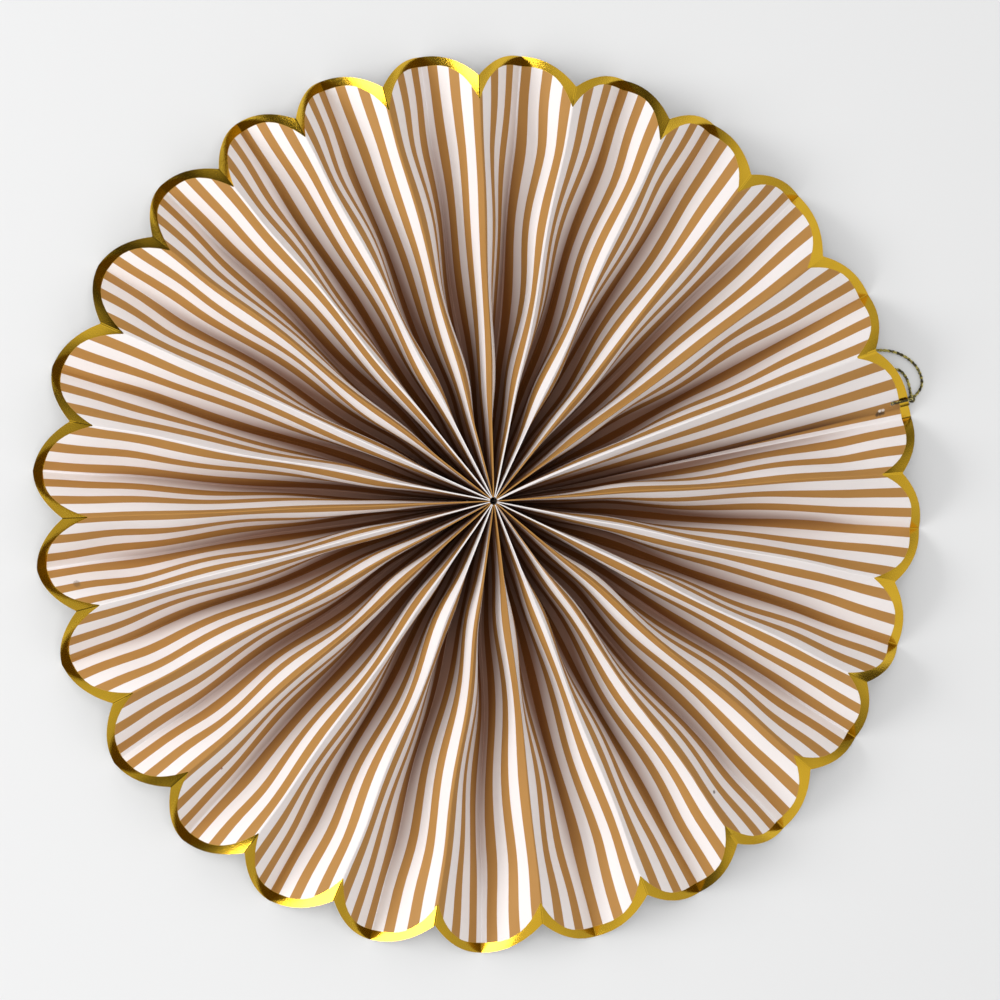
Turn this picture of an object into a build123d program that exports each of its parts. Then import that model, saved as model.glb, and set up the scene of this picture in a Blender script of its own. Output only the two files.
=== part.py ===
from build123d import *
import math
import os

# ---------------------------------------------------------------------------
# Striped paper fan rosette, lying flat.  Millimetres, +Z up.
# Origin: centre of the gathered hub, on the plane that the valley folds rest on.
# One strip of printed card is accordion-folded into 26 pleats (52 panels), its
# inner edge is gathered on a thread ring, and its two ends are taped together.
# ---------------------------------------------------------------------------

PAPER_T = 0.15            # card thickness
PANEL_W = 19.7            # width of one panel, fold to fold
FOLD_LAND = 0.21          # flat land of a pressed fold, middle of the card
TAPE_GAP = 0.12           # gap that the tape fills between the lapped ends
TAPE_T = 0.10             # double-sided tape
RIM_R = 130.0             # radius at the scallop tips (valley folds)
NOTCH_S = 120.9           # strip depth along a ridge fold
SCALLOP_POW = 2.35        # fullness of a scallop
END_W_RIM = 20.8          # first panel, ridge to its cut edge, at the rim
END_W_HUB = 18.6          # the same at the hub: the end is cut slightly askew
FLAP_W = 8.0              # glue flap past the last valley fold
SEAM_SLACK = 5.3          # how much wider the seam pleat is pulled at the rim

# azimuth in degrees, at the rim, of the 25 valley folds and of the seam's valley
VALLEY_AZ = [28.29, 44.04, 58.28, 71.28, 85.18, 98.28, 111.51, 123.51, 136.19,
             148.92, 163.02, 176.33, 188.81, 201.12, 215.15, 228.13, 241.61,
             255.43, 269.89, 284.97, 299.56, 313.20, 328.34, 341.49, 356.95]
SEAM_AZ = 371.5

N_FOLD = 52
LAP = PAPER_T + TAPE_GAP
RING = LAP + FOLD_LAND * N_FOLD                    # paper layers round the hub
HUB_R = RING / (2 * math.pi)
DEPTH_V = RIM_R - HUB_R                            # strip depth along a valley

THREAD_D = 0.9            # hanging thread
STITCH_D = 0.75           # the same thread drawn tight through the card
TIE_D = 0.5               # thread ring that gathers the hub
TIE_R = 5.0
TIE_Z = 3.0
TIE_HOLE_D = 0.86
EYE_D = 1.5               # punched hole at the seam
EYE_S = 123.4             # its place along the fold
EYE_IN = 1.75             # and in from the cut edge

# rows of the card's mesh, by depth from the hub edge
STATIONS = [0.0, 2.6, 3.85, 9.0, 20.0, 36.0, 58.0, 84.0, 109.0]
TIE_ROW = 1               # the tie's holes lie between this row and the next
EYE_ROWS = [EYE_S - 0.95, EYE_S + 0.95]
RIM_STEPS = 6

os.makedirs("parts", exist_ok=True)


# ------------------------------------------------------------------ vectors
def add(a, b): return (a[0] + b[0], a[1] + b[1], a[2] + b[2])
def sub(a, b): return (a[0] - b[0], a[1] - b[1], a[2] - b[2])
def mul(a, k): return (a[0] * k, a[1] * k, a[2] * k)
def dot(a, b): return a[0] * b[0] + a[1] * b[1] + a[2] * b[2]
def cross(a, b): return (a[1] * b[2] - a[2] * b[1], a[2] * b[0] - a[0] * b[2], a[0] * b[1] - a[1] * b[0])
def norm(a): return math.sqrt(dot(a, a))
def unit(a): return mul(a, 1.0 / norm(a))
def mix(a, b, k): return add(mul(a, 1 - k), mul(b, k))


# ------------------------------------------------- folds of the paper strip
# Round the hub the layers stand side by side.  Layer 0 is the first panel (its
# cut edge laps the flap), layers 1..51 are the others, and the flap closes the
# ring one lap beside layer 0.
def layer_arc(j): return 0.0 if j == 0 else LAP + FOLD_LAND * j


FLAP_ARC = layer_arc(51) + FOLD_LAND + LAP


def valley_arc(k):
    return (layer_arc(k - 1) + (FLAP_ARC if k == N_FOLD else layer_arc(k))) / 2


def rim_az(k): return SEAM_AZ if k == N_FOLD else VALLEY_AZ[k // 2 - 1]


VALLEYS = range(2, N_FOLD + 1, 2)
HUB_TURN = sum(rim_az(k) - valley_arc(k) * 360 / RING for k in VALLEYS) / len(VALLEYS)


def valley_point(k, s):
    """middle of valley fold k at depth s, with the fold's own direction"""
    a0 = math.radians(HUB_TURN + valley_arc(k) * 360 / RING)
    a1 = math.radians(rim_az(k))
    p0 = (HUB_R * math.cos(a0), HUB_R * math.sin(a0), PAPER_T / 2)
    p1 = (RIM_R * math.cos(a1), RIM_R * math.sin(a1), PAPER_T / 2)
    run = sub(p1, p0)
    return add(p0, mul(run, s / DEPTH_V)), unit(run)


def land_half(k): return (FOLD_LAND + LAP) / 2 if k in (1, N_FOLD) else FOLD_LAND / 2


def side(e): return unit((-e[1], e[0], 0.0))       # horizontal, counter-clockwise


def valley_ends(k, s):
    p, e = valley_point(k, s)
    q = side(e)
    return sub(p, mul(q, land_half(k))), add(p, mul(q, land_half(k)))


def seam_width(s):
    """developed width from the seam's valley to ridge 1; the pleat gapes outwards"""
    t = max(0.0, s) / DEPTH_V
    return PANEL_W - FOLD_LAND + SEAM_SLACK * 1.15 * t * t / (t + 0.15)


def end_width(s): return END_W_HUB + (END_W_RIM - END_W_HUB) * max(0.0, s) / DEPTH_V


def ridge_mid(k, s):
    """ridge fold k (1..51): where both panels can reach"""
    sv = s * 1.004
    w = PANEL_W - FOLD_LAND
    left = valley_ends(N_FOLD if k == 1 else k - 1, sv)[1]
    right = valley_ends(k + 1, sv)[0]
    flat = sub(right, left)
    gap = math.hypot(flat[0], flat[1])
    q = (flat[0] / gap, flat[1] / gap, 0.0)
    h = land_half(k)
    if k != 1:
        x = gap / 2 - h
        return add(add(left, mul(q, gap / 2)), (0, 0, math.sqrt(w * w - x * x)))
    # ridge 1: the first panel lies one lap above the flap's line
    wl = seam_width(sv)
    room = gap - 2 * h + LAP
    x = (room + (wl * wl - w * w) / room) / 2 if room > 1e-3 else 0.0
    z = math.sqrt(wl * wl - x * x)
    return add(add(left, mul(q, x - LAP * z / wl + h)), (0, 0, z + LAP * x / wl))


def fold_frame(k, s):
    """left end, right end, direction along the fold, land normal"""
    if k % 2 == 0:
        a, b = valley_ends(k, s)
        return a, b, valley_point(k, s)[1], (0.0, 0.0, 1.0)
    m = ridge_mid(k, s)
    e = unit(sub(ridge_mid(k, s + 0.5), ridge_mid(k, max(0.0, s - 0.5))))
    q = side(e)
    return sub(m, mul(q, land_half(k))), add(m, mul(q, land_half(k))), e, unit(cross(e, q))


def panel_line(j, s):
    """panel j (1..51), counter-clockwise: start, end, direction of its folds"""
    a, b = fold_frame(j, s), fold_frame(j + 1, s)
    return a[1], b[0], unit(add(a[2], b[2]))


def seam_line(s):
    """foot of the seam pleat, direction up the slope, normal, folds' direction,
    developed length, and the first panel's offset from the flap"""
    foot, e0 = valley_ends(N_FOLD, s)[1], valley_point(N_FOLD, s)[1]
    top, _, e1, _ = fold_frame(1, s)
    e = unit(add(e0, e1))
    lift = mul(unit(cross(e, unit(sub(top, foot)))), LAP)
    run = sub(sub(top, lift), foot)
    d = unit(run)
    return foot, d, unit(cross(e, d)), e, norm(run), lift


def mitre(n1, n2): return mul(add(n1, n2), 0.5 * PAPER_T / (1 + dot(n1, n2)))


def scallop(x):
    """strip depth at x panel widths from a ridge fold (1 = valley fold)"""
    return NOTCH_S + (DEPTH_V - NOTCH_S) * (1 - abs(1 - x) ** SCALLOP_POW)


# -------------------------------------------- skin of the card, as flat facets
# Each mesh point is (parameter, upper point, lower point).
facets = []


def tri(a, b, c):
    if min(norm(sub(a, b)), norm(sub(b, c)), norm(sub(a, c))) > 1e-4:
        facets.append((a, b, c))


def quad(a, b, c, d):
    tri(a, b, c)
    tri(a, c, d)


def both(a, b, c):
    tri(a[1], b[1], c[1])
    tri(a[2], c[2], b[2])


def across(lower, upper):
    """fill between two rows that run counter-clockwise"""
    i = j = 0
    while i < len(lower) - 1 or j < len(upper) - 1:
        li = lower[i + 1][0] if i < len(lower) - 1 else 1e9
        uj = upper[j + 1][0] if j < len(upper) - 1 else 1e9
        if li <= uj:
            both(lower[i], upper[j], lower[i + 1])
            i += 1
        else:
            both(lower[i], upper[j], upper[j + 1])
            j += 1


def along(left, right):
    """fill between two lines that run outwards"""
    i = j = 0
    while i < len(left) - 1 or j < len(right) - 1:
        li = left[i + 1][0] if i < len(left) - 1 else 1e9
        rj = right[j + 1][0] if j < len(right) - 1 else 1e9
        if li <= rj:
            both(left[i], left[i + 1], right[j])
            i += 1
        else:
            both(left[i], right[j + 1], right[j])
            j += 1


def hole(lower_lo, upper_lo, upper_hi, lower_hi, centre, u, v, n, dia):
    """fill one cell, leaving a punched hole in it"""
    def at(deg):
        p = add(centre, add(mul(u, dia / 2 * math.cos(math.radians(deg))),
                            mul(v, dia / 2 * math.sin(math.radians(deg)))))
        return (0, add(p, mul(n, PAPER_T / 2)), sub(p, mul(n, PAPER_T / 2)))
    corners = [upper_lo, upper_hi, lower_hi, lower_lo]
    for i in range(4):
        a = -45 + 90 * i
        c, c2 = corners[i], corners[(i + 1) % 4]
        v0, v1, v2 = at(a - 22.5), at(a + 22.5), at(a + 67.5)
        both(c, v1, v0)
        both(c, c2, v2)
        both(c, v2, v1)
        facets.append((v0[1], v1[1], v1[2], v0[2]))
        facets.append((v1[1], v2[1], v2[2], v1[2]))


def rim_edge(row):
    for a, b in zip(row, row[1:]):
        quad(a[1], a[2], b[2], b[1])


def hub_edge(row):
    for a, b in zip(row, row[1:]):
        quad(a[1], b[1], b[2], a[2])


def pt(param, p, m): return (param, add(p, m), sub(p, m))


start_line, end_line = {}, {}

# ordinary panels
for j in range(1, N_FOLD):
    def row_at(s, fractions, j=j):
        a, b, e = panel_line(j, s)
        n = unit(cross(e, unit(sub(b, a))))
        out = []
        for f in fractions:
            if f == 0.0:
                out.append(pt(f, a, mitre(n, fold_frame(j, s)[3])))
            elif f == 1.0:
                out.append(pt(f, b, mitre(n, fold_frame(j + 1, s)[3])))
            else:
                out.append(pt(f, mix(a, b, f), mul(n, PAPER_T / 2)))
        return out

    # where the hub tie crosses this layer
    lo, hi = STATIONS[TIE_ROW], STATIONS[TIE_ROW + 1]
    for _ in range(30):
        s = (lo + hi) / 2
        a, b, e = panel_line(j, s)
        f = (TIE_Z - a[2]) / (b[2] - a[2])
        c = mix(a, b, f)
        if math.hypot(c[0], c[1]) < TIE_R:
            lo = s
        else:
            hi = s
    cn, cd = unit(cross(e, unit(sub(b, a)))), unit(sub(b, a))
    f0, f1 = f - 0.6 / PANEL_W, f + 0.6 / PANEL_W
    rows = [row_at(s, (0.0, f0, f1, 1.0) if i in (TIE_ROW, TIE_ROW + 1) else (0.0, 1.0))
            for i, s in enumerate(STATIONS)]
    for i in range(len(rows) - 1):
        if i == TIE_ROW:
            lo, up = rows[i], rows[i + 1]
            across(lo[:2], up[:2])
            hole(lo[1], up[1], up[2], lo[2], c, unit(cross(cd, cn)), cd, cn, TIE_HOLE_D)
            across(lo[2:], up[2:])
        else:
            across(rows[i], rows[i + 1])
    rim = []
    for i in range(RIM_STEPS + 1):
        f = i / RIM_STEPS
        s = scallop(f if j % 2 == 1 else 1 - f)
        rim.append(row_at(s, (f,))[0])
    across(rows[-1], rim)
    rim_edge(rim)
    hub_edge(rows[0])
    start_line[j] = [(s,) + r[0][1:] for s, r in zip(STATIONS, rows)] + [(DEPTH_V,) + rim[0][1:]]
    end_line[j] = [(s,) + r[-1][1:] for s, r in zip(STATIONS, rows)] + [(DEPTH_V,) + rim[-1][1:]]


# the seam pleat: glue flap below, first panel above, cells shared where they lap
def lap_cols(s):
    cut = seam_line(s)[4] - end_width(s)
    return [cut, cut + EYE_IN - 0.95, 4.5 + (cut + EYE_IN + 0.95 - 4.5) * min(1.0, s / EYE_S), 7.6, FLAP_W]


def seam_row(s, cols, upper, fold_start=False, fold_end=False):
    foot, d, n, e, length, lift = seam_line(s)
    out = []
    for i, y in enumerate(cols):
        p = add(foot, mul(d, y))
        if upper:
            p = add(p, lift)
        m = mul(n, PAPER_T / 2)
        if fold_start and i == 0:
            m = mitre(n, fold_frame(N_FOLD, s)[3])
        if fold_end and i == len(cols) - 1:
            m = mitre(n, fold_frame(1, s)[3])
        out.append(pt(i, p, m))
    return out


def seam_rim(cols_of, upper, **kw):
    out = []
    count = len(cols_of(100.0))
    for i in range(count):
        s = 126.0
        for _ in range(4):
            y, length = cols_of(s)[i], seam_line(s)[4]
            s = scallop((length - y) / PANEL_W if upper else 1 - y / PANEL_W)
        out.append(seam_row(s, cols_of(s), upper, **kw)[i])
    return out


def tie_centre(upper):
    lo, hi = STATIONS[TIE_ROW], STATIONS[TIE_ROW + 1]
    for _ in range(30):
        s = (lo + hi) / 2
        foot, d, n, e, length, lift = seam_line(s)
        base = add(foot, lift) if upper else foot
        c = add(base, mul(d, (TIE_Z - base[2]) / d[2]))
        if math.hypot(c[0], c[1]) < TIE_R:
            lo = s
        else:
            hi = s
    return c, unit(cross(d, n)), d, n


def eye_centre(upper):
    foot, d, n, e, length, lift = seam_line(EYE_S)
    c = add(foot, mul(d, lap_cols(EYE_S)[0] + EYE_IN))
    return (add(c, lift) if upper else c), unit(cross(d, n)), d, n


rows_s = STATIONS + EYE_ROWS


def flap_cols(s): return [0.0] + lap_cols(s)


def free_cols(s):
    length = seam_line(s)[4]
    return [FLAP_W + (length - FLAP_W) * f for f in (0.0, 0.2, 0.4, 0.6, 0.8, 1.0)]


for cols_of, upper in ((flap_cols, False), (lap_cols, True)):
    first = 1 if upper else 2                      # column left of the punched cell
    kw = {} if upper else {"fold_start": True}
    rows = [seam_row(s, cols_of(s), upper, **kw) for s in rows_s]
    rim = seam_rim(cols_of, upper, **kw)
    for i in range(len(rows) - 1):
        lo, up = rows[i], rows[i + 1]
        if i == TIE_ROW or rows_s[i] == EYE_ROWS[0]:
            c, u, v, n = tie_centre(upper) if i == TIE_ROW else eye_centre(upper)
            across(lo[:first + 1], up[:first + 1])
            hole(lo[first], up[first], up[first + 1], lo[first + 1], c, u, v, n,
                 TIE_HOLE_D if i == TIE_ROW else EYE_D)
            across(lo[first + 1:], up[first + 1:])
        else:
            across(lo, up)
    across(rows[-1], rim)
    rim_edge(rim)
    hub_edge(rows[0])
    left = [(s,) + r[0][1:] for s, r in zip(rows_s, rows)] + [(DEPTH_V,) + rim[0][1:]]
    right = [(s,) + r[-1][1:] for s, r in zip(rows_s, rows)] + [(DEPTH_V,) + rim[-1][1:]]
    if upper:
        lap_side = right
        for a, b in zip(left, left[1:]):           # the cut edge
            quad(a[1], a[2], b[2], b[1])
    else:
        start_line[N_FOLD] = left
        for a, b in zip(right, right[1:]):         # the flap's free edge
            quad(a[1], b[1], b[2], a[2])

rows = [seam_row(s, free_cols(s), True, fold_end=True) for s in STATIONS]
rim = seam_rim(free_cols, True, fold_end=True)
for i in range(len(rows) - 1):
    across(rows[i], rows[i + 1])
across(rows[-1][1:], rim[1:])
along(lap_side[len(STATIONS) - 1:], [(STATIONS[-1],) + rows[-1][1][1:], (DEPTH_V,) + rim[1][1:]])
rim_edge(rim)
hub_edge(rows[0])
end_line[0] = [(s,) + r[-1][1:] for s, r in zip(STATIONS, rows)] + [(DEPTH_V,) + rim[-1][1:]]

# the pressed folds between neighbouring panels
for k in range(1, N_FOLD + 1):
    left, right = end_line[k - 1], start_line[k]
    along(left, right)
    rim_edge([left[-1], right[-1]])
    hub_edge([left[0], right[0]])


def solid_of(triangles):
    faces = [Face(Wire.make_polygon([Vector(*p) for p in t], close=True)) for t in triangles]
    body = Solid(Shell(faces))
    return body if body.volume > 0 else Solid(Shell(faces).wrapped.Reversed())


pleated_paper = solid_of(facets)
print("card", round(pleated_paper.volume, 1), "mm3, valid", pleated_paper.is_valid, len(facets), "facets")

# -------------------------------------------------- tape between lapped ends
tape_rows = []
for s in STATIONS[3:]:
    foot, d, n, e, length, lift = seam_line(s)
    cols = lap_cols(s)
    base = mul(n, PAPER_T / 2 + (TAPE_GAP - TAPE_T) / 2)
    low = [add(add(foot, mul(d, y)), base) for y in (cols[1], cols[2], cols[3])]
    tape_rows.append([(i, add(p, mul(n, TAPE_T)), p) for i, p in enumerate(low)])
facets = []
for a, b in zip(tape_rows, tape_rows[1:]):
    across(a, b)
    quad(a[0][1], a[0][2], b[0][2], b[0][1])
    quad(a[-1][1], b[-1][1], b[-1][2], a[-1][2])
rim_edge(tape_rows[-1])
hub_edge(tape_rows[0])
seam_tape = solid_of(facets)
print("tape", round(seam_tape.volume, 2), "mm3, valid", seam_tape.is_valid)

# -------------------------------------------------------- hub thread ring
foot, d, n, e, length, lift = seam_line(3.2)
p0 = tie_centre(True)[0]
a, b, e = panel_line(1, 3.2)
p1 = mix(a, b, (TIE_Z - a[2]) / (b[2] - a[2]))
ka = math.atan2(p0[1] + p1[1], p0[0] + p1[0])
tie_knot = Pos(TIE_R * math.cos(ka), TIE_R * math.sin(ka), TIE_Z) * Rot(0, 0, math.degrees(ka)) * scale(Sphere(1.0), (0.42, 0.33, 0.42))
hub_tie = (Pos(0, 0, TIE_Z) * Torus(TIE_R, TIE_D / 2)) + tie_knot
hub_tie = hub_tie.solids()[0]
print("tie", round(hub_tie.volume, 2), hub_tie.is_valid, "hub radius", round(HUB_R, 3), "turn", round(HUB_TURN, 2),
      "knot room", round(norm(sub(p0, p1)), 2))

# ------------------------------------------------- hanging thread and knot
eye, _, _, eye_n = eye_centre(True)
er = unit((eye[0], eye[1], 0.0))
et = (-er[1], er[0], 0.0)
eye_r = math.hypot(eye[0], eye[1])


def loc(r, t, z): return (er[0] * r + et[0] * t, er[1] * r + et[1] * t, z)


KNOT = loc(RIM_R + 1.15, 0.0, 1.0)
over = eye[2] + PAPER_T / 2 / eye_n[2] + STITCH_D / 2 + 0.12
under = eye[2] - (LAP + PAPER_T / 2) / eye_n[2] - STITCH_D / 2 - 0.14
stitch_pts = [loc(RIM_R + 1.15, -0.05, 1.0),
              loc(RIM_R + 0.75, -0.10, over - 0.75),
              loc(RIM_R - 0.4, -0.10, over + 0.12),
              loc(eye_r + 1.2, -0.10, over + 0.06),
              loc(eye_r - 0.02, -0.02, over - 0.10),
              loc(eye_r - 0.02, 0.02, under + 0.10),
              loc(eye_r + 1.2, 0.10, under - 0.04),
              loc(RIM_R - 0.4, 0.10, under - 0.14),
              loc(RIM_R + 1.15, 0.05, 0.98)]
print("eye", [round(v, 2) for v in eye], "az", round(math.degrees(math.atan2(eye[1], eye[0])), 2),
      "over", round(over, 2), "under", round(under, 2), "normal", [round(v, 3) for v in eye_n])


def tube(points, radii, dia):
    path = FilletPolyline(*[Vector(*p) for p in points], radius=radii)
    wire = Wire(path.edges())
    body = sweep(Plane(origin=wire @ 0, z_dir=wire % 0) * Circle(dia / 2), path=wire)
    print("   tube length", round(wire.length, 2), "volume / (section x length)",
          round(body.volume / (math.pi * dia * dia / 4 * wire.length), 4), body.is_valid)
    return body, wire.length


def arc_radii(points):
    out = []
    for i in range(1, len(points) - 1):
        a, b, c = (Vector(*points[i - 1]), Vector(*points[i]), Vector(*points[i + 1]))
        turn = math.radians((b - a).get_angle(c - b))
        out.append(0.45 * min((b - a).length, (c - b).length) / math.tan(turn / 2))
    return out


sr = arc_radii(stitch_pts)
print("stitch radii", [round(r, 2) for r in sr])
stitch, _ = tube(stitch_pts, sr, STITCH_D)
knot_core = Pos(*KNOT) * Rot(0, 0, math.degrees(math.atan2(er[1], er[0]))) * scale(Sphere(1.0), (1.05, 1.20, 1.00))
fused = (knot_core + stitch).solids()
thread_knot = fused[0]
print("knot", round(thread_knot.volume, 3), thread_knot.is_valid, len(fused), "solid")

# the free loop: out of the knot, round outside the rim, under the ridge's tent,
# and back along the rim to the knot; it lies on the surface
Z0 = THREAD_D / 2
LOOP = [(KNOT[0] + 0.45, KNOT[1] + 0.25, 0.80), (129.9, 33.2, 0.50), (130.9, 36.2, Z0), (129.5, 40.2, Z0),
        (126.0, 43.5, Z0), (120.9, 45.4, Z0), (114.4, 45.2, Z0), (108.6, 43.4, Z0),
        (105.5, 40.1, Z0), (107.6, 36.8, Z0), (112.9, 36.2, Z0), (118.6, 38.6, Z0),
        (123.2, 40.2, Z0), (125.7, 37.9, Z0), (126.9, 34.8, 0.50), (KNOT[0] - 0.15, KNOT[1] + 0.55, 0.80)]
lr = arc_radii(LOOP)
print("loop radii", [round(r, 2) for r in lr])
loop_raw, loop_len = tube(LOOP, lr, THREAD_D)
pieces = (loop_raw - thread_knot).solids()
print("loop solids", [round(s.volume, 3) for s in pieces])
hanging_loop = max(pieces, key=lambda s: s.volume)
print("thread length", round(loop_len, 1))

for name, shape in (("pleated_paper", pleated_paper), ("seam_tape", seam_tape), ("hub_tie", hub_tie),
                    ("thread_knot", thread_knot), ("hanging_loop", hanging_loop)):
    shape.label = name
    export_step(shape, f"parts/{name}.step")
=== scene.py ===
import math

import bpy
import numpy as np
from mathutils import Matrix, Vector


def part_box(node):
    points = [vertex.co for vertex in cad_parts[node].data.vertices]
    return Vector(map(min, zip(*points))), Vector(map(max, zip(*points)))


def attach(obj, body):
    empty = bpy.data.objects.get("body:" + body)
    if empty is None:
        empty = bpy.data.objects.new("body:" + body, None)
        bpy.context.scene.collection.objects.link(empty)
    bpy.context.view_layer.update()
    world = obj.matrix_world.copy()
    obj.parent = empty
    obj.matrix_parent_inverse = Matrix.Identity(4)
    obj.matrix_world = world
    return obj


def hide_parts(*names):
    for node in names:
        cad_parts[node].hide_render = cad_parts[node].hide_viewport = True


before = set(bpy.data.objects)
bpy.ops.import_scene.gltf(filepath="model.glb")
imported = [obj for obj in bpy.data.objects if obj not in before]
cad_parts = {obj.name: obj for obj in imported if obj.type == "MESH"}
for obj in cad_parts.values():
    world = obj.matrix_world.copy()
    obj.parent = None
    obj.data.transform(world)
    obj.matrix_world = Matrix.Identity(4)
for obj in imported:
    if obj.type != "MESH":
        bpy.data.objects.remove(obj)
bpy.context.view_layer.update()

MM = 0.001


def add_object(name, data):
    ob = bpy.data.objects.new(name, data)
    bpy.context.scene.collection.objects.link(ob)
    return ob


# ------------------------------------------------------------------- camera
# The photograph's viewing angle: about 9.4 degrees off the vertical.
CAM = Vector((-0.20363, -0.02768, 1.27283))
AIM = Vector((0.00339, 0.00049, 0.010))
cam_data = bpy.data.cameras.new("camera")
cam_data.sensor_width = 36.0
cam_data.lens = 160.45
cam_data.clip_start = 0.05
cam_data.clip_end = 20.0
cam = add_object("camera", cam_data)
zc = (CAM - AIM).normalized()
xc = Vector((-0.00197, 1.0, 0.0)).cross(zc).normalized()
yc = zc.cross(xc)
cam.matrix_world = Matrix(((xc.x, yc.x, zc.x, CAM.x), (xc.y, yc.y, zc.y, CAM.y),
                           (xc.z, yc.z, zc.z, CAM.z), (0, 0, 0, 1)))
bpy.context.scene.camera = cam

# ------------------------------------------------------------ thread's route
# The loop's points, as in the solid: out of the knot, round outside the rim,
# under the ridge's tent and back along the rim.
KNOT = (127.398, 31.146)
THREAD_D = 0.9
Z0 = THREAD_D / 2
LOOP = [(KNOT[0] + 0.45, KNOT[1] + 0.25, 0.80), (129.9, 33.2, 0.50), (130.9, 36.2, Z0), (129.5, 40.2, Z0),
        (126.0, 43.5, Z0), (120.9, 45.4, Z0), (114.4, 45.2, Z0), (108.6, 43.4, Z0),
        (105.5, 40.1, Z0), (107.6, 36.8, Z0), (112.9, 36.2, Z0), (118.6, 38.6, Z0),
        (123.2, 40.2, Z0), (125.7, 37.9, Z0), (126.9, 34.8, 0.50), (KNOT[0] - 0.15, KNOT[1] + 0.55, 0.80)]


def route(name, points):
    """the smooth line of a route: its NURBS spline, read as plain points"""
    cu = bpy.data.curves.new(name, "CURVE")
    cu.dimensions = "3D"
    sp = cu.splines.new("NURBS")
    sp.points.add(len(points) - 1)
    for p, q in zip(sp.points, points):
        p.co = (q[0] * MM, q[1] * MM, q[2] * MM, 1.0)
    sp.order_u = 3
    sp.use_endpoint_u = True
    sp.resolution_u = 20
    ob = add_object(name, cu)
    me = bpy.data.meshes.new_from_object(ob)
    pts = np.array([v.co[:] for v in me.vertices])
    bpy.data.meshes.remove(me)
    bpy.data.objects.remove(ob)
    bpy.data.curves.remove(cu)
    return pts


def frames_along(pts):
    """tangent and two steady normals at each point"""
    t = np.gradient(pts, axis=0)
    t /= np.linalg.norm(t, axis=1)[:, None]
    a = np.zeros_like(pts)
    ref = np.array([0.0, 0.0, 1.0])
    for i in range(len(pts)):
        ref = ref - t[i] * ref.dot(t[i])
        if np.linalg.norm(ref) < 1e-6:
            ref = np.array([1.0, 0.0, 0.0]) - t[i] * t[i][0]
        ref = ref / np.linalg.norm(ref)
        a[i] = ref
    return t, a, np.cross(t, a)


def strands(pts, dia, count, pitch, phase0=0.0, sides=7):
    """a twisted thread of that diameter: count strands laid round the route"""
    seg = np.linalg.norm(np.diff(pts, axis=0), axis=1)
    run = np.concatenate([[0], np.cumsum(seg)])
    n = max(12, int(run[-1] / (dia * 0.30)))
    even = np.linspace(0, run[-1], n)
    pts = np.stack([np.interp(even, run, pts[:, k]) for k in range(3)], 1)
    t, a, b = frames_along(pts)
    if count == 1:
        off, r = 0.0, dia / 2
    else:
        r = dia / 2 / (1 + 1 / math.sin(math.pi / count)) * 1.16
        off = dia / 2 - r
    vs, fs = [], []
    for k in range(count):
        ang = phase0 + 2 * math.pi * (even / pitch + k / count)
        mid = pts + off * (a * np.cos(ang)[:, None] + b * np.sin(ang)[:, None])
        tt, aa, bb = frames_along(mid)
        base = len(vs)
        for i in range(n):
            for q in range(sides):
                w = 2 * math.pi * q / sides
                vs.append(tuple(mid[i] + r * (aa[i] * math.cos(w) + bb[i] * math.sin(w))))
        for i in range(n - 1):
            for q in range(sides):
                q2 = (q + 1) % sides
                fs.append((base + i * sides + q, base + i * sides + q2,
                           base + (i + 1) * sides + q2, base + (i + 1) * sides + q))
        fs.append(tuple(base + q for q in reversed(range(sides))))
        fs.append(tuple(base + (n - 1) * sides + q for q in range(sides)))
    return vs, fs, pts, run[-1]


def mesh_piece(name, vs, fs, mat, sharp=None):
    me = bpy.data.meshes.new(name)
    me.from_pydata(vs, [], fs)
    me.polygons.foreach_set("use_smooth", [True] * len(me.polygons))
    if sharp is not None:
        me.set_sharp_from_angle(angle=math.radians(sharp))
    me.materials.append(mat)
    me.update()
    return add_object(name, me)


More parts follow.
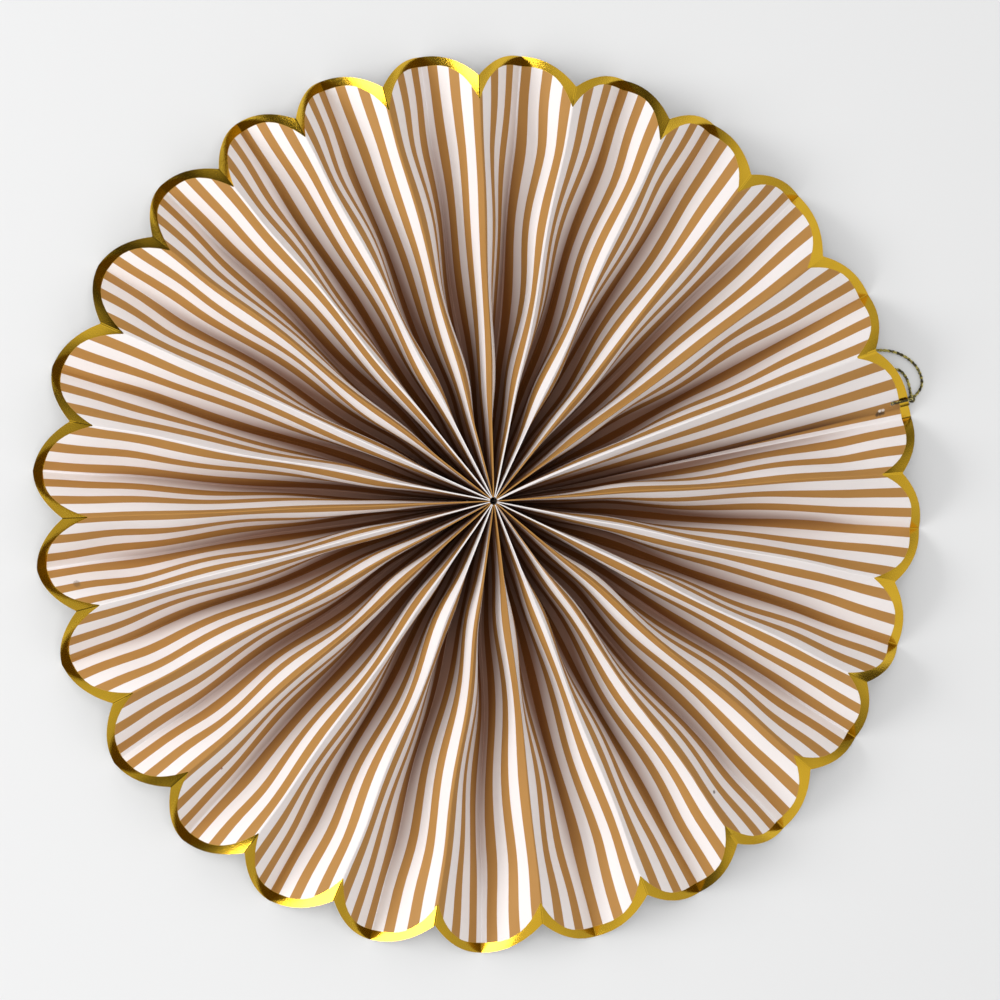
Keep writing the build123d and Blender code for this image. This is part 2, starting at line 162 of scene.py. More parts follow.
# ---------------------------------------------------------------- materials
class Graph:
    """a material's nodes, with short names for the ones used often"""

    def __init__(self, name):
        self.mat = bpy.data.materials.new(name)
        self.mat.use_nodes = True
        self.nt = self.mat.node_tree
        for n in list(self.nt.nodes):
            self.nt.nodes.remove(n)
        self.out = self.nt.nodes.new("ShaderNodeOutputMaterial")
        self.bsdf = self.nt.nodes.new("ShaderNodeBsdfPrincipled")
        self.nt.links.new(self.bsdf.outputs[0], self.out.inputs[0])

    def node(self, kind, **props):
        n = self.nt.nodes.new(kind)
        for k, v in props.items():
            setattr(n, k, v)
        return n

    def put(self, sock, value):
        if isinstance(value, bpy.types.NodeSocket):
            self.nt.links.new(value, sock)
        else:
            sock.default_value = value

    def attr(self, name):
        return self.node("ShaderNodeAttribute", attribute_name=name).outputs["Fac"]

    def math(self, op, a, b=0.0, c=0.0):
        n = self.node("ShaderNodeMath", operation=op)
        self.put(n.inputs[0], a)
        self.put(n.inputs[1], b)
        self.put(n.inputs[2], c)
        return n.outputs[0]

    def step(self, value, lo, hi):
        n = self.node("ShaderNodeMapRange", interpolation_type="SMOOTHSTEP")
        self.put(n.inputs["Value"], value)
        n.inputs["From Min"].default_value = lo
        n.inputs["From Max"].default_value = hi
        return n.outputs[0]

    def span(self, value, lo, hi):
        n = self.node("ShaderNodeMapRange")
        self.put(n.inputs["Value"], value)
        n.inputs["To Min"].default_value = lo
        n.inputs["To Max"].default_value = hi
        return n.outputs[0]

    def noise(self, vector, scale, detail=2.0, rough=0.5):
        n = self.node("ShaderNodeTexNoise")
        self.put(n.inputs["Vector"], vector)
        n.inputs["Scale"].default_value = scale
        n.inputs["Detail"].default_value = detail
        n.inputs["Roughness"].default_value = rough
        return n.outputs["Fac"]

    def mix(self, fac, a, b):
        n = self.node("ShaderNodeMix", data_type="RGBA")
        self.put(n.inputs[0], fac)
        self.put(n.inputs[6], a)
        self.put(n.inputs[7], b)
        return n.outputs[2]

    def stretch(self, vector, *scale):
        n = self.node("ShaderNodeMapping")
        self.put(n.inputs["Vector"], vector)
        n.inputs["Scale"].default_value = scale
        return n.outputs[0]

    def spot(self, vector, x, y, size, uneven):
        """1 at that place, seen from above, and 0 farther off; in millimetres"""
        n = self.node("ShaderNodeVectorMath", operation="MULTIPLY_ADD")
        self.put(n.inputs[0], vector)
        n.inputs[1].default_value = (1000.0, 1000.0, 0.0)
        n.inputs[2].default_value = (-x, -y, 0.0)
        far = self.node("ShaderNodeVectorMath", operation="LENGTH")
        self.put(far.inputs[0], n.outputs[0])
        ragged = self.math("ADD", far.outputs["Value"], self.math("MULTIPLY", uneven, 0.8))
        return self.math("SUBTRACT", 1.0, self.step(ragged, size * 0.7, size * 1.3))

    def bump(self, height, strength, distance):
        n = self.node("ShaderNodeBump")
        n.inputs["Strength"].default_value = strength
        n.inputs["Distance"].default_value = distance
        self.put(n.inputs["Height"], height)
        self.nt.links.new(n.outputs[0], self.bsdf.inputs["Normal"])


def tone(r, g, b):
    f = lambda c: c / 12.92 if c <= 0.04045 else ((c + 0.055) / 1.055) ** 2.4
    return (f(r / 255), f(g / 255), f(b / 255), 1.0)


g = Graph("striped_card")
flat = g.node("ShaderNodeUVMap", uv_map="flat").outputs[0]         # the flat strip, in centimetres
phase, edge, face = g.attr("phase"), g.attr("edge"), g.attr("face")
fibre = g.noise(flat, 26.0, 4.0, 0.65)
blot = g.noise(g.stretch(flat, 1.3, 0.35, 1.0), 1.0, 3.0, 0.5)
wobble = g.math("MULTIPLY", g.math("SUBTRACT", g.noise(g.stretch(flat, 4.0, 1.2, 1.0), 1.0, 2.0), 0.5), 0.022)
wave = g.math("COSINE", g.math("MULTIPLY", g.math("ADD", phase, wobble), 2 * math.pi))
ink = g.step(wave, 0.02, 0.16)
white = g.mix(g.span(blot, 0.2, 0.9), tone(251, 247, 246), tone(245, 240, 241))
mustard = g.mix(blot, tone(191, 143, 78), tone(178, 128, 64))
paper = g.mix(ink, white, mustard)
# painted shade: the card is darkened and browned where it lies far below its pleat's crest and along each valley fold,
# standing in for shade there; tuned to mean tones
painted_shade = g.step(g.attr("painted_shade"), 0.42, 1.58)
paper = g.mix(g.math("MULTIPLY", painted_shade, 0.92), paper, g.mix(ink, tone(150, 108, 84), tone(112, 62, 24)))
# painted shadow: a dark brown line along the seam's cut edge, with painted shade beside it
paper = g.mix(g.attr("line"), paper, tone(58, 32, 22))
# small marks: a scuff, two specks, and beside the thread a nick in the card, drawn only in colour: its two white spots
# are a painted highlight and its three dark spots a painted shadow
place = g.node("ShaderNodeTexCoord").outputs["Object"]
uneven = g.noise(g.stretch(place, 1000.0, 1000.0, 0.0), 1.6, 2.0)
for mx, my, size, hue, part in ((-117.6, -23.9, 1.3, (120, 96, 66), 0.6), (66.1, -83.5, 0.8, (52, 38, 26), 0.85),
                                (-76.4, -76.3, 0.7, (140, 62, 44), 0.8),
                                (117.3, 27.3, 0.85, (250, 248, 246), 0.7), (118.3, 27.5, 0.8, (250, 248, 246), 0.6),
                                (116.8, 26.4, 1.0, (50, 42, 36), 0.8), (117.7, 26.6, 0.95, (50, 42, 36), 0.8),
                                (118.6, 26.85, 0.9, (50, 42, 36), 0.7)):
    paper = g.mix(g.math("MULTIPLY", g.spot(place, mx, my, size, uneven), part), paper, tone(*hue))
foil_line = g.math("ADD", edge, g.math("MULTIPLY", g.math("SUBTRACT", fibre, 0.5), 0.12))
is_paper = g.math("SUBTRACT", 1.0, g.step(foil_line, -0.10, 0.10))
gold = g.mix(blot, tone(238, 196, 62), tone(222, 176, 46))
back = g.mix(blot, tone(244, 240, 234), tone(236, 231, 224))
colour = g.mix(face, back, g.mix(is_paper, gold, paper))
g.put(g.bsdf.inputs["Base Color"], colour)
foil = g.math("MULTIPLY", g.math("SUBTRACT", 1.0, is_paper), face)
g.put(g.bsdf.inputs["Metallic"], foil)
sheen = g.node("ShaderNodeMix", data_type="FLOAT")
g.put(sheen.inputs[0], foil)
g.put(sheen.inputs[2], g.span(fibre, 0.50, 0.70))
g.put(sheen.inputs[3], g.span(blot, 0.09, 0.19))
g.put(g.bsdf.inputs["Roughness"], sheen.outputs[0])
g.bsdf.inputs["Specular IOR Level"].default_value = 0.4
g.bump(g.noise(flat, 20.0, 3.0, 0.65), 0.30, 0.00006)
glow = g.node("ShaderNodeBsdfTranslucent")
g.put(glow.inputs["Color"], colour)
both = g.node("ShaderNodeMixShader")
g.put(both.inputs[0], g.math("MULTIPLY", g.math("SUBTRACT", 1.0, foil), 0.10))
g.nt.links.new(g.bsdf.outputs[0], both.inputs[1])
g.nt.links.new(glow.outputs[0], both.inputs[2])
g.nt.links.new(both.outputs[0], g.out.inputs[0])
card_mat = g.mat

g = Graph("metallic_thread")
place = g.stretch(g.node("ShaderNodeTexCoord").outputs["Object"], 1000.0, 1000.0, 1000.0)
fleck = g.noise(place, 0.85, 3.0, 0.6)
g.put(g.bsdf.inputs["Base Color"], g.mix(g.step(fleck, 0.44, 0.60), tone(52, 46, 14), tone(206, 192, 104)))
g.put(g.bsdf.inputs["Metallic"], g.math("MULTIPLY", g.step(fleck, 0.44, 0.60), 0.6))
g.put(g.bsdf.inputs["Roughness"], g.span(fleck, 0.5, 0.25))
g.bump(fleck, 0.5, 0.00005)
thread_mat = g.mat

g = Graph("tie_thread")
place = g.stretch(g.node("ShaderNodeTexCoord").outputs["Object"], 1000.0, 1000.0, 1000.0)
fleck = g.noise(place, 2.2, 3.0, 0.6)
g.put(g.bsdf.inputs["Base Color"], g.mix(fleck, tone(214, 206, 190), tone(246, 242, 234)))
g.put(g.bsdf.inputs["Roughness"], g.span(fleck, 0.9, 0.7))
g.bump(fleck, 0.6, 0.00004)
tie_mat = g.mat

g = Graph("sticky_tape")
place = g.stretch(g.node("ShaderNodeTexCoord").outputs["Object"], 1000.0, 1000.0, 1000.0)
haze = g.noise(place, 0.3, 3.0, 0.5)
g.put(g.bsdf.inputs["Base Color"], g.mix(haze, tone(232, 228, 214), tone(246, 243, 234)))
g.put(g.bsdf.inputs["Roughness"], g.span(haze, 0.25, 0.5))
g.bump(haze, 0.2, 0.00003)
tape_mat = g.mat

g = Graph("floor")
place = g.node("ShaderNodeTexCoord").outputs["Object"]
soft = g.noise(place, 1.5, 2.0, 0.5)
g.put(g.bsdf.inputs["Base Color"], g.mix(soft, tone(224, 226, 228), tone(230, 232, 234)))
g.bsdf.inputs["Roughness"].default_value = 0.9
g.bsdf.inputs["Specular IOR Level"].default_value = 0.2
floor_mat = g.mat

# --------------------------------------------------------------- the thread
pts = route("loop_route", LOOP)
vs, fs, even, length = strands(pts, THREAD_D * MM, 2, 2.6 * MM, sides=8)
loop = mesh_piece("hanging_thread_loop", vs, fs, thread_mat)
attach(loop, "root")
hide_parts("hanging_loop")

# --------------------------------------------------------- the folded strip
# Sizes in millimetres, the same as the solid's.
T, W, LAND, TAPE_GAP = 0.15, 19.7, 0.21, 0.12
RIM_R, NOTCH_S, POW = 130.0, 120.9, 2.35
END_W_RIM, END_W_HUB, FLAP_W, SEAM_SLACK = 20.8, 18.6, 8.0, 5.3
VALLEY_AZ = [28.29, 44.04, 58.28, 71.28, 85.18, 98.28, 111.51, 123.51, 136.19,
             148.92, 163.02, 176.33, 188.81, 201.12, 215.15, 228.13, 241.61,
             255.43, 269.89, 284.97, 299.56, 313.20, 328.34, 341.49, 356.95]
SEAM_AZ = 371.5
N = 52
LAP = T + TAPE_GAP
RING = LAP + LAND * N
HUB_R = RING / (2 * math.pi)
DEPTH = RIM_R - HUB_R
TIE_R, TIE_Z, TIE_HOLE = 5.0, 3.0, 0.86
EYE_S, EYE_IN, EYE_D = 123.4, 1.75, 1.5


def layer_arc(j): return 0.0 if j == 0 else LAP + LAND * j


FLAP_ARC = layer_arc(51) + LAND + LAP


def valley_arc(k): return (layer_arc(k - 1) + (FLAP_ARC if k == N else layer_arc(k))) / 2
def rim_az(k): return SEAM_AZ if k == N else VALLEY_AZ[k // 2 - 1]


HUB_TURN = sum(rim_az(k) - valley_arc(k) * 360 / RING for k in range(2, N + 1, 2)) / 26.0


def unit(v): return v / np.linalg.norm(v, axis=-1, keepdims=True)
def vec(x, y, z): return np.stack(np.broadcast_arrays(x, y, z), -1).astype(float)
def dot(a, b): return np.sum(a * b, -1)[..., None]
def land_half(k): return (LAND + LAP) / 2 if k in (1, N) else LAND / 2


def ease(x, lo, hi):
    t = np.clip((x - lo) / (hi - lo), 0, 1)
    return t * t * (3 - 2 * t)


rng = np.random.default_rng(11)
DRIFT = rng.uniform(0.25, 0.65, N + 2) * rng.choice([-1, 1], N + 2)       # sideways wave of each valley, millimetres
DRIFT_AT, DRIFT_LONG = rng.uniform(0, 2 * math.pi, N + 2), rng.uniform(46, 62, N + 2)


def drift(k, s):
    """how far the valley wanders off its straight line; nothing at the hub, the rim and the seam"""
    if k in (2, N):
        return 0 * s
    return DRIFT[k] * ease(s, 16, 40) * (1 - ease(s, 96, 120)) * np.sin(2 * math.pi * s / DRIFT_LONG[k] + DRIFT_AT[k])


def valley_point(k, s):
    s = np.asarray(s, float)
    a0, a1 = math.radians(HUB_TURN + valley_arc(k) * 360 / RING), math.radians(rim_az(k))
    p0 = np.array([HUB_R * math.cos(a0), HUB_R * math.sin(a0), T / 2])
    p1 = np.array([RIM_R * math.cos(a1), RIM_R * math.sin(a1), T / 2])
    e = unit(p1 - p0)
    q = np.array([-e[1], e[0], 0.0])
    return p0 + (p1 - p0) * (s / DEPTH)[..., None] + q * drift(k, s)[..., None], e


def valley_ends(k, s):
    p, e = valley_point(k, s)
    q = unit(np.array([-e[1], e[0], 0.0])) * land_half(k)
    return p - q, p + q


def seam_width(s):
    t = np.maximum(0.0, s) / DEPTH
    return W - LAND + SEAM_SLACK * 1.15 * t * t / (t + 0.15)


def end_width(s): return END_W_HUB + (END_W_RIM - END_W_HUB) * np.maximum(0.0, s) / DEPTH


def ridge_mid(k, s):
    sv = np.asarray(s, float) * 1.004
    w = W - LAND
    left = valley_ends(N if k == 1 else k - 1, sv)[1]
    right = valley_ends(k + 1, sv)[0]
    run = right - left
    gap = np.hypot(run[..., 0], run[..., 1])
    q = vec(run[..., 0] / gap, run[..., 1] / gap, 0.0)
    h = land_half(k)
    if k != 1:
        x = gap / 2 - h
        return left + q * (gap / 2)[..., None] + vec(0, 0, np.sqrt(w * w - x * x))
    wl = seam_width(sv)
    room = np.maximum(gap - 2 * h + LAP, 1e-3)
    x = (room + (wl * wl - w * w) / room) / 2
    z = np.sqrt(wl * wl - x * x)
    return left + q * (x - LAP * z / wl + h)[..., None] + vec(0, 0, z + LAP * x / wl)


def fold_frame(k, s):
    s = np.asarray(s, float)
    if k % 2 == 0:
        a, b = valley_ends(k, s)
        return a, b, np.broadcast_to(valley_point(k, s)[1], a.shape), vec(0 * s, 0, 1.0)
    m = ridge_mid(k, s)
    e = unit(ridge_mid(k, s + 0.5) - ridge_mid(k, np.maximum(0.0, s - 0.5)))
    q = unit(vec(-e[..., 1], e[..., 0], 0.0))
    return m - q * land_half(k), m + q * land_half(k), e, unit(np.cross(e, q))


def scallop(x): return NOTCH_S + (DEPTH - NOTCH_S) * (1 - np.abs(1 - x) ** POW)


def stripe_phase(u):
    """where the printed stripes fall; a whole number is a mustard stripe's middle"""
    drift = np.interp(u, [-1, 0.9, 2, 8, 9, 12, 18, 20, 26.5, 27.2, 30, 31, 36, 37, 44, 45, 50, 51, 53],
                      [-0.2, -0.2, -0.05, -0.05, 0, 0.1, 0.2, 0.07, 0.12, -0.13, -0.13, -0.04, -0.04, 0, 0, 0.05,
                       0.09, 0.07, 0.0])
    return (u - 0.44) / 0.3774 - drift


CURL = 1.0 + 0.22 * rng.standard_normal(N + 1)       # how far each panel's section bends
SKEW = 0.20 * rng.standard_normal(N + 1)
LEAN = rng.uniform(-0.55, 0.10, N + 1)               # the buckles: mean, size, place and length
BUCKLE = rng.uniform(0.35, 0.75, N + 1)
BUCKLE_AT = 82.0 + rng.normal(0, 7.0, N + 1) + 21.0 * rng.integers(0, 2, N + 1)
BUCKLE_LONG = rng.uniform(40.0, 50.0, N + 1)


def bow(j, fv, s):
    """how far the panel's face leaves the straight line between its folds: it
    hollows by the valley and swells by the ridge, and it buckles lightly along the fold"""
    s = np.asarray(s, float)
    curl = CURL[j] * ease(s, 12, 32) * (0.26 * np.exp(-((s - 36) / 20) ** 2) + 0.13 * np.exp(-((s - 84) / 26) ** 2))
    bend = -curl * W / (2 * math.pi) * np.sin(2 * math.pi * fv) * (1 + SKEW[j] * np.cos(math.pi * fv))
    wave = LEAN[j] + BUCKLE[j] * np.cos(2 * math.pi * (s - BUCKLE_AT[j]) / BUCKLE_LONG[j])
    wave = wave * ease(s, 14, 38) * (1 - ease(s, 100, 122)) * (0.35 if j == 0 else 1.0)
    swell = 0.55 * ease(s, 98, 122) * (0.0 if j == 0 else 1.0)
    return bend + (wave + swell) * np.sin(math.pi * fv)


V, quads, tris = [], [], []
ATTR = {name: [] for name in ("phase", "edge", "face", "painted_shade", "line")}
UV = []
count = 0

FOIL_NOTCH = 6.6 + rng.normal(0, 0.5, N + 4)          # how far the foil reaches in at each ridge
FOIL_TIP = 2.85


def past_foil(u, x, s):
    """how far a point of the flat strip lies outside the foil border's inner line; x in panel widths from a ridge"""
    deep_end = NOTCH_S - FOIL_NOTCH[(2 * np.floor(np.clip(u, 0, N + 0.9) / 2) + 1).astype(int)]
    top_end = DEPTH - FOIL_TIP
    return s - (deep_end + (top_end - deep_end) * (1 - np.abs(1 - x) ** 3.2))


def add_points(p, u, x, s, side, shade=0.0, line=0.0):
    """append mesh points, all arrays of one shape; returns their numbers"""
    global count
    shape = np.shape(u)
    n = int(np.prod(shape))
    V.append(np.reshape(p, (n, 3)))
    ATTR["phase"].append(np.ravel(stripe_phase(u)))
    ATTR["edge"].append(np.ravel(past_foil(u, x, s) * np.ones(shape)))
    ATTR["face"].append(np.full(n, float(side)))
    # painted shade: depth below the pleat's crest against the pleat's width, plus a band along the valley fold and the
    # given shade, darkens the card's colour
    gap = np.hypot(p[..., 0], p[..., 1]) * 2 * math.pi / 26          # pleat to pleat
    crest = np.sqrt(np.maximum((W - LAND) ** 2 - gap * gap / 4, 1.0))
    crease_shade = 0.42 * np.exp(-((1 - x) * W / 3.6) ** 2) * (1 - ease(s, 96, 124)) * np.ones(shape)
    ATTR["painted_shade"].append(np.ravel(np.clip((crest - p[..., 2]) / gap + crease_shade + shade, 0, 3) * np.ones(shape)))
    ATTR["line"].append(np.ravel(line * np.ones(shape)))
    UV.append(np.stack([np.ravel(u) * W / 10, np.ravel(s) / 10 * np.ones(n)], -1))
    idx = np.arange(count, count + n).reshape(shape)
    count += n
    return idx


def add_quads(a, b, c, d): quads.append(np.stack([np.ravel(a), np.ravel(b), np.ravel(c), np.ravel(d)], -1))


def sheet(at, S, u, x, fold_lo=None, fold_hi=None, holes=(), shade=0.0, line=0.0):
    """one panel as a grid: rows run out from the hub, columns counter-clockwise"""
    nr, nc = S.shape
    P = np.stack([at(c, S[:, c]) for c in range(nc)], 1)
    ds = np.stack([at(c, S[:, c] + 0.1) - at(c, np.maximum(S[:, c] - 0.1, 0.0)) for c in range(nc)], 1)
    dc = np.stack([at(min(c + 1, nc - 1), S[:, c]) - at(max(c - 1, 0), S[:, c]) for c in range(nc)], 1)
    n = unit(np.cross(ds, dc))
    off = n * (T / 2)
    for fold, c in ((fold_lo, 0), (fold_hi, nc - 1)):
        if fold is not None:
            ln = fold_frame(fold, S[:, c])[3]
            off[:, c] = (n[:, c] + ln) * (0.5 * T / (1 + dot(n[:, c], ln)))
    top = add_points(P + off, u, x, S, 1, shade, line)
    bot = add_points(P - off, u, x, S, 0)
    keep = np.ones((nr - 1, nc - 1), bool)
    for r, c, centre, e, d, m, dia in holes:
        keep[r, c] = False
        deg = np.radians(-67.5 + 22.5 * np.arange(16))
        de, dd = dia / 2 * np.cos(deg), dia / 2 * np.sin(deg)
        ring = centre + e * de[:, None] + d * dd[:, None]
        uc, xc_ = u[r, c] + 0 * deg, x[r, c] + 0 * deg
        du = (u[r, c + 1] - u[r, c]) / max(np.linalg.norm(P[r, c + 1] - P[r, c]), 1e-6)
        frac = float(np.dot(centre - P[r, c], d))
        uu = uc + du * (frac + dd)
        sign = np.sign(x[r, c + 1] - x[r, c])
        ss = (S[r, c] + S[r + 1, c]) / 2 + de
        xx = xc_ + sign * du * (frac + dd)
        rt = add_points(ring + m * T / 2, uu, xx, ss, 1)
        rb = add_points(ring - m * T / 2, uu, xx, ss, 0)
        for lay, rr, flip in ((top, rt, False), (bot, rb, True)):
            corner = [lay[r + 1, c], lay[r + 1, c + 1], lay[r, c + 1], lay[r, c]]
            for i in range(4):
                k, k2 = corner[i], corner[(i + 1) % 4]
                q = [rr[(4 * i + m_) % 16] for m_ in range(5)]
                for tri in ((k, q[1], q[0]), (k, q[2], q[1]), (k, q[3], q[2]), (k, k2, q[3]), (k2, q[4], q[3])):
                    tris.append(tri[::-1] if flip else tri)
        nxt = np.roll(np.arange(16), -1)
        add_quads(rt, rt[nxt], rb[nxt], rb)
    rr, cc = np.nonzero(keep)
    add_quads(top[rr, cc], top[rr + 1, cc], top[rr + 1, cc + 1], top[rr, cc + 1])
    add_quads(bot[rr, cc], bot[rr, cc + 1], bot[rr + 1, cc + 1], bot[rr + 1, cc])
    add_quads(top[-1, :-1], bot[-1, :-1], bot[-1, 1:], top[-1, 1:])
    add_quads(top[0, :-1], top[0, 1:], bot[0, 1:], bot[0, :-1])
    return top, bot


# depths of the rows: fixed ones near the hub, then a share of the way to the rim
ROWS = np.concatenate([[0.0, 1.3, 2.6, 3.85, 5.2], np.linspace(7.0, 109.0, 36)])
EYE_LO, EYE_HI = EYE_S - 0.95, EYE_S + 0.95
RIM_ROWS = np.array([0.0, 0.22, 0.42, 0.60, (EYE_LO - 109) / (DEPTH - 109), (EYE_HI - 109) / (DEPTH - 109), 0.94, 1.0])
EYE_ROW = len(ROWS) - 1 + 4


def rows_to(rim): return np.concatenate([ROWS, 109.0 + (rim - 109.0) * RIM_ROWS[1:]])


left_col, right_col = {}, {}
UP = np.array([0.0, 0.012, 0.05, 0.119, 0.180, 0.26, 0.35, 0.45, 0.55, 0.65, 0.74, 0.82, 0.89, 0.95, 0.985, 1.0])

for j in range(1, N):
    rising = j % 2 == 0                              # starts at a valley, ends at a ridge
    fr = UP if rising else 1 - UP[::-1]
    fv = fr if rising else 1 - fr

    def at(c, s, j=j, fr=fr, fv=fv):
        lo, hi = fold_frame(j, s), fold_frame(j + 1, s)
        run = hi[0] - lo[1]
        n = unit(np.cross(unit(lo[2] + hi[2]), unit(run)))
        return lo[1] + run * fr[c] + n * bow(j, fv[c], s)[..., None]

    a_, b_ = 2.6, 3.85                               # where the tie goes through
    for _ in range(30):
        s_ = (a_ + b_) / 2
        lo, hi = fold_frame(j, s_), fold_frame(j + 1, s_)
        run = hi[0] - lo[1]
        p = lo[1] + run * (TIE_Z - lo[1][2]) / run[2]
        if math.hypot(p[0], p[1]) < TIE_R:
            a_ = s_
        else:
            b_ = s_
    d_ = unit(run)
    n_ = unit(np.cross(unit(lo[2] + hi[2]), d_))
    cell = 3 if rising else len(UP) - 5
    S = np.stack([rows_to(scallop(1 - v)) for v in fv], 1)
    u = j + fr[None, :] + 0 * S
    x = (1 - fv)[None, :] + 0 * S
    top, bot = sheet(at, S, u, x, j, j + 1, [(2, cell, p, np.cross(d_, n_), d_, n_, TIE_HOLE)])
    left_col[j], right_col[j] = (top[:, 0], bot[:, 0]), (top[:, -1], bot[:, -1])


def seam_line(s):
    """the seam pleat: foot, direction up the slope, normal, fold direction,
    flat length, and the first panel's offset from the flap"""
    s = np.asarray(s, float)
    foot, e0 = valley_ends(N, s)[1], valley_point(N, s)[1]
    crest, _, e1, _ = fold_frame(1, s)
    e = unit(e0 + e1)
    lift = unit(np.cross(e, unit(crest - foot))) * LAP
    run = crest - lift - foot
    d = unit(run)
    return foot, d, unit(np.cross(e, d)), e, np.linalg.norm(run, axis=-1), lift


def lap_col(i, s):
    cut = seam_line(s)[4] - end_width(s)
    return [cut, cut + EYE_IN - 0.95, 4.5 + (cut + EYE_IN + 0.95 - 4.5) * np.minimum(1.0, s / EYE_S),
            0 * s + 7.6, 0 * s + FLAP_W][i]


def free_col(f, s): return FLAP_W + (seam_line(s)[4] - FLAP_W) * f


def seam_point(y_of, upper):
    def at(c, s):
        foot, d, n, e, length, lift = seam_line(s)
        y = y_of(c, s)
        p = foot + d * y[..., None] + (lift if upper else 0)
        free = np.clip((y - FLAP_W - 0.4) / (length - FLAP_W - 0.4), 0, 1)
        p = p + n * (0.55 * bow(0, free, s))[..., None]
        if upper and c == 0:                          # the cut edge stands up a little
            p = p + n * (0.42 * ease(s, 12, 30) * (0.75 + 0.25 * np.sin(s / 9.0)))[..., None]
        return p
    return at


def punch(upper, s, y=None):
    foot, d, n, e, length, lift = seam_line(s)
    base = foot + lift if upper else foot
    c = base + d * ((TIE_Z - base[2]) / d[2] if y is None else y)
    return c, np.cross(d, n), d, n


FREE = [0.12, 0.26, 0.42, 0.58, 0.74, 0.87, 0.96, 1.0]
ends = {}
for upper in (False, True):
    if upper:
        cols = [lambda s, i=i: lap_col(i, s) for i in range(5)] + [lambda s, f=f: free_col(f, s) for f in FREE]
        share = lambda y, L: (L - y) / W
    else:
        cols = [lambda s: 0.0 * s, lambda s: 0.012 * W + 0 * s, lambda s: 0.4 * lap_col(0, s) + 0.006 * W,
                lambda s: 0.7 * lap_col(0, s)] + [lambda s, i=i: lap_col(i, s) for i in range(5)]
        share = lambda y, L: 1 - y / W
    S = []
    for i, col in enumerate(cols):
        s = np.array(126.0)
        for _ in range(8):
            s = scallop(share(col(s), seam_line(s)[4]))
        rows = rows_to(DEPTH if (upper and i < 5) or not upper else float(s))
        if (upper and i < 5) or not upper:
            rows[-1] = float(s)
            rows[-2] = (EYE_HI + float(s)) / 2
        S.append(rows)
    if not upper:
        S[0] = rows_to(DEPTH)
    S = np.stack(S, 1)
    Y = np.stack([col(S[:, i]) for i, col in enumerate(cols)], 1)
    L = np.stack([seam_line(S[:, i])[4] for i in range(len(cols))], 1)
    x = share(Y, L)
    u = (1 - x) if upper else 52 + Y / W
    at = seam_point(lambda c, s, cols=cols: cols[c](s), upper)
    a_, b_ = 2.6, 3.85
    for _ in range(30):
        s_ = (a_ + b_) / 2
        c_ = punch(upper, np.array(s_))[0]
        if math.hypot(c_[0], c_[1]) < TIE_R:
            a_ = s_
        else:
            b_ = s_
    first = 1 if upper else 5
    tie_hole = punch(upper, np.array(s_)) + (TIE_HOLE,)
    eye_hole = punch(upper, np.array(EYE_S), float(lap_col(0, np.array(EYE_S))) + EYE_IN) + (EYE_D,)
    # painted shadow and shade at the seam: the lap is darkened along its cut edge and for a few millimetres beside it,
    # and the flap where it runs under the lap; the flap's visible strip below the edge has its painted shade taken
    # off, so it shows pale
    past = Y - lap_col(0, S)
    seam_shade_reach = ease(S, 8, 30) * (1 - 0.6 * ease(S, 92, 122))
    shade = 0.0 if upper else -1.1 * seam_shade_reach * (past < -0.02)
    line = seam_shade_reach * (0.62 * np.exp(-(past / 1.1) ** 2) + 0.30 * np.exp(-(past / 6.0) ** 2)) if upper else \
        0.9 * seam_shade_reach * (past > -0.02)
    top, bot = sheet(at, S, u, x, None if upper else N, 1 if upper else None,
                     [(2, first) + tie_hole, (EYE_ROW, first) + eye_hole], shade, line)
    if upper:
        right_col[0] = (top[:, -1], bot[:, -1])
        a, b = top[:, 0], bot[:, 0]
        add_quads(a[:-1], b[:-1], b[1:], a[1:])       # the cut edge
    else:
        left_col[N] = (top[:, 0], bot[:, 0])
        a, b = top[:, -1], bot[:, -1]
        add_quads(a[:-1], a[1:], b[1:], b[:-1])       # the flap's free edge

for k in range(1, N + 1):                             # the pressed folds
    (lt, lb), (rt, rb) = right_col[k - 1], left_col[k]
    add_quads(lt[:-1], lt[1:], rt[1:], rt[:-1])
    add_quads(lb[:-1], rb[:-1], rb[1:], lb[1:])
    add_quads(lt[-1:], lb[-1:], rb[-1:], rt[-1:])
    add_quads(lt[:1], rt[:1], rb[:1], lb[:1])

P = np.concatenate(V)
# the ridges' inner corners close up over the hub
close = 0.36 * np.exp(-(np.maximum(np.hypot(P[:, 0], P[:, 1]) - HUB_R, 0) / 5.0) ** 2) * ease(P[:, 2], 9.0, 18.0)
P[:, :2] *= (1 - close)[:, None]
node_lo, node_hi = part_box("pleated_paper")
P = np.clip(P * MM, np.array(node_lo), np.array(node_hi))
F = [tuple(int(i) for i in q) for q in np.concatenate(quads)] + [tuple(int(i) for i in t) for t in tris]
card = mesh_piece("pleated_card", [tuple(p) for p in P], F, card_mat, sharp=38)
me = card.data
for name, parts in ATTR.items():
    me.attributes.new(name, "FLOAT", "POINT").data.foreach_set("value", np.concatenate(parts).astype(np.float32))
uv = me.uv_layers.new(name="flat")
index = np.zeros(len(me.loops), dtype=np.int32)
me.loops.foreach_get("vertex_index", index)
uv.data.foreach_set("uv", np.concatenate(UV)[index].astype(np.float32).ravel())
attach(card, "root")
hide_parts("pleated_paper")

# ---------------------------------------------- the small pieces kept from CAD
for node, mat in (("thread_knot", thread_mat), ("hub_tie", tie_mat), ("seam_tape", tape_mat)):
    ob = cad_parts[node]
    if not ob.material_slots:
        ob.data.materials.append(mat)
    for slot in ob.material_slots:
        slot.material = mat

# ------------------------------------------------------------ floor and light
me = bpy.data.meshes.new("floor")
me.from_pydata([(-4, -4, -0.00005), (4, -4, -0.00005), (4, 4, -0.00005), (-4, 4, -0.00005)], [], [(0, 1, 2, 3)])
me.materials.append(floor_mat)
floor = add_object("floor", me)


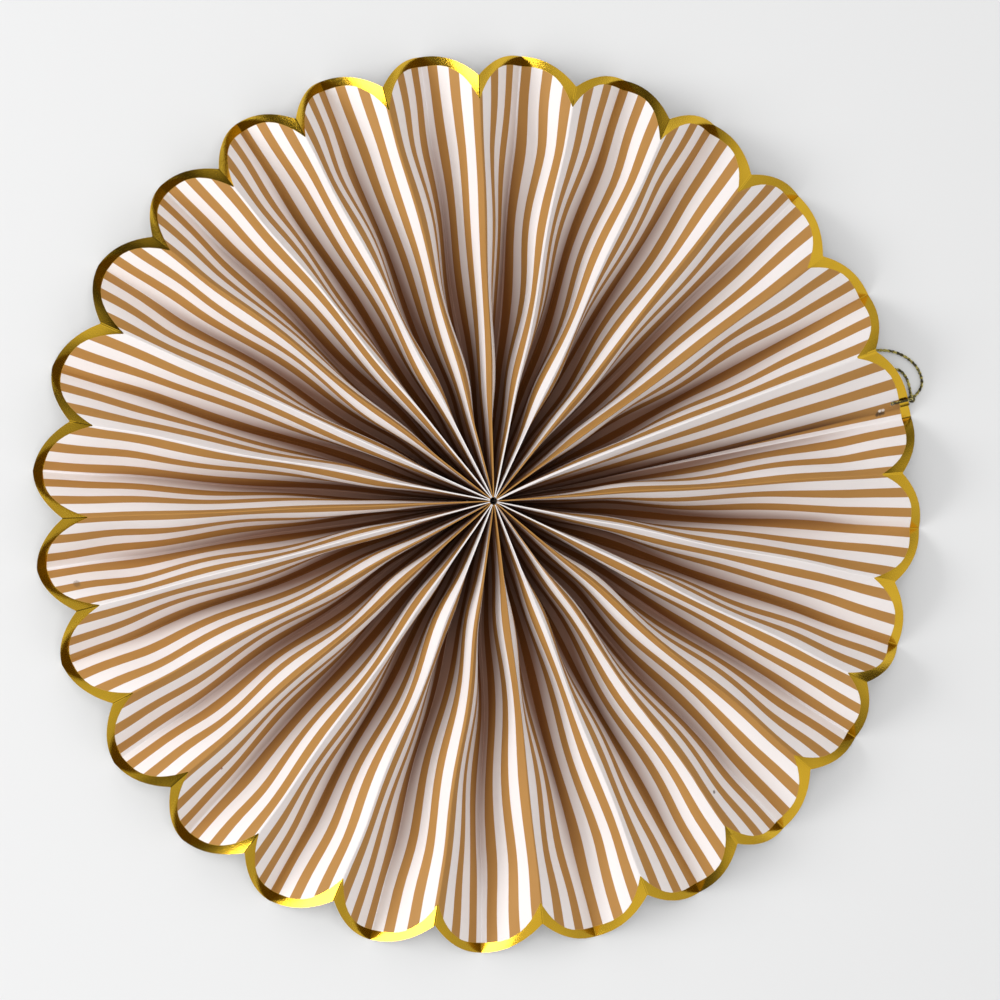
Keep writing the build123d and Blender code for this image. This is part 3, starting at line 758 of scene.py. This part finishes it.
def area(name, place, target, size, power, colour=(1, 1, 1), size_y=None):
    li = bpy.data.lights.new(name, "AREA")
    li.energy, li.color, li.size = power, colour, size
    if size_y is not None:
        li.shape, li.size_y = "RECTANGLE", size_y
    ob = add_object(name, li)
    ob.location = place
    ob.rotation_euler = (Vector(target) - Vector(place)).to_track_quat("-Z", "Y").to_euler()
    return ob


area("key", (-1.55, 0.0, 0.75), (0, 0, 0), 1.3, 17.0, (1.0, 0.985, 0.965), 0.6)
top_light = area("top", (-0.25, 0.10, 2.4), (0, 0, 0), 1.6, 22.5, (1.0, 0.985, 0.97))
top_light.visible_glossy = False

# a soft room: bright all round at mid height, dim at the horizon except on one side
world = bpy.data.worlds.new("room")
world.use_nodes = True
wn = world.node_tree
bg = wn.nodes["Background"]
way = wn.nodes.new("ShaderNodeTexCoord")
axes = wn.nodes.new("ShaderNodeSeparateXYZ")
wn.links.new(way.outputs["Generated"], axes.inputs[0])
up = wn.nodes.new("ShaderNodeMapRange")
up.interpolation_type = "SMOOTHSTEP"
up.inputs["From Min"].default_value, up.inputs["From Max"].default_value = 0.16, 0.48
wn.links.new(axes.outputs["Z"], up.inputs["Value"])
side = wn.nodes.new("ShaderNodeMapRange")
side.interpolation_type = "SMOOTHSTEP"
side.inputs["From Min"].default_value, side.inputs["From Max"].default_value = 0.10, 0.60
side.inputs["To Min"].default_value, side.inputs["To Max"].default_value = 0.0, 0.65
toward = wn.nodes.new("ShaderNodeVectorMath")
toward.operation = "DOT_PRODUCT"
toward.inputs[1].default_value = (0.82, -0.57, 0.0)
wn.links.new(way.outputs["Generated"], toward.inputs[0])
wn.links.new(toward.outputs["Value"], side.inputs["Value"])
patch = wn.nodes.new("ShaderNodeMapRange")
patch.interpolation_type = "SMOOTHSTEP"
patch.inputs["From Min"].default_value, patch.inputs["From Max"].default_value = 0.86, 0.94
patch.inputs["To Min"].default_value, patch.inputs["To Max"].default_value = 0.0, 0.65
across = wn.nodes.new("ShaderNodeVectorMath")
across.operation = "DOT_PRODUCT"
across.inputs[1].default_value = (-0.30, 0.954, 0.0)
wn.links.new(way.outputs["Generated"], across.inputs[0])
wn.links.new(across.outputs["Value"], patch.inputs["Value"])
low = wn.nodes.new("ShaderNodeMath")
low.operation = "MAXIMUM"
wn.links.new(side.outputs[0], low.inputs[0])
wn.links.new(patch.outputs[0], low.inputs[1])
wn.links.new(low.outputs[0], up.inputs["To Min"])
up.inputs["To Max"].default_value = 1.0
cap = wn.nodes.new("ShaderNodeMapRange")              # the ceiling right overhead is dark
cap.interpolation_type = "SMOOTHSTEP"
cap.inputs["From Min"].default_value, cap.inputs["From Max"].default_value = 0.80, 0.95
cap.inputs["To Min"].default_value, cap.inputs["To Max"].default_value = 1.0, 0.08
wn.links.new(axes.outputs["Z"], cap.inputs["Value"])
amount = wn.nodes.new("ShaderNodeMath")
amount.operation = "MULTIPLY"
wn.links.new(up.outputs[0], amount.inputs[0])
wn.links.new(cap.outputs[0], amount.inputs[1])
tint = wn.nodes.new("ShaderNodeMix")
tint.data_type = "RGBA"
wn.links.new(amount.outputs[0], tint.inputs[0])
tint.inputs[6].default_value = (0.05, 0.042, 0.036, 1.0)
tint.inputs[7].default_value = (1.0, 0.985, 0.97, 1.0)
wn.links.new(tint.outputs[2], bg.inputs["Color"])
bg.inputs["Strength"].default_value = 0.75
bpy.context.scene.world = world
bpy.context.scene.view_settings.view_transform = "Standard"
